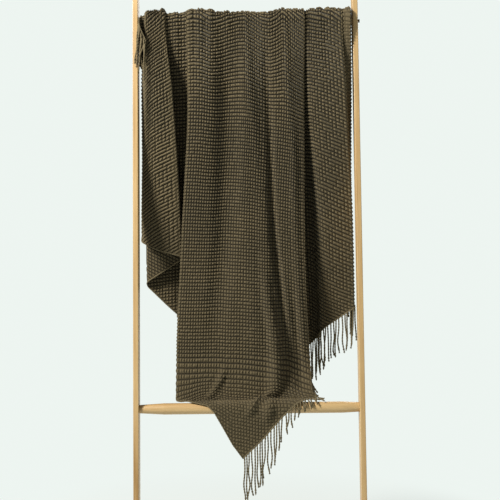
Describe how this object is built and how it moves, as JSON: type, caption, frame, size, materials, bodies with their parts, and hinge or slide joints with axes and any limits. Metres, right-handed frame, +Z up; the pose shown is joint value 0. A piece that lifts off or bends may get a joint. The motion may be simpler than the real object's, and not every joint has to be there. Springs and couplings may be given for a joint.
{
  "type": "knit throw blanket on a wooden leaning ladder",
  "caption": "Chunky knit throw with tassel fringes on its ends, hung cornerwise in folds over the rung of a slim leaning wooden ladder.",
  "frame": {"origin": "on the floor, under the middle of the whole object's box", "axes": "+Z up; +X to the viewer's right, along the rungs; +Y away from the viewer, the way the ladder leans"},
  "size_m": [0.5616, 0.3724, 1.7],
  "materials": {
    "knit": "matte olive-brown chunky knit with a raised square bump at each stitch",
    "yarn": "matte twisted yarn tassels of the same colour as the knit",
    "wood": "pale, lightly lacquered softwood with fine straight grain",
    "dark_screw": "dark, dull finish"
  },
  "bodies": {
    "root": {"throw": "knit", "fringe_front": "yarn", "fringe_back": "yarn", "rail_left": "wood", "rail_right": "wood", "rung_low": "wood", "rung_top": "wood", "screw": "dark_screw"}
  },
  "joints": []
}
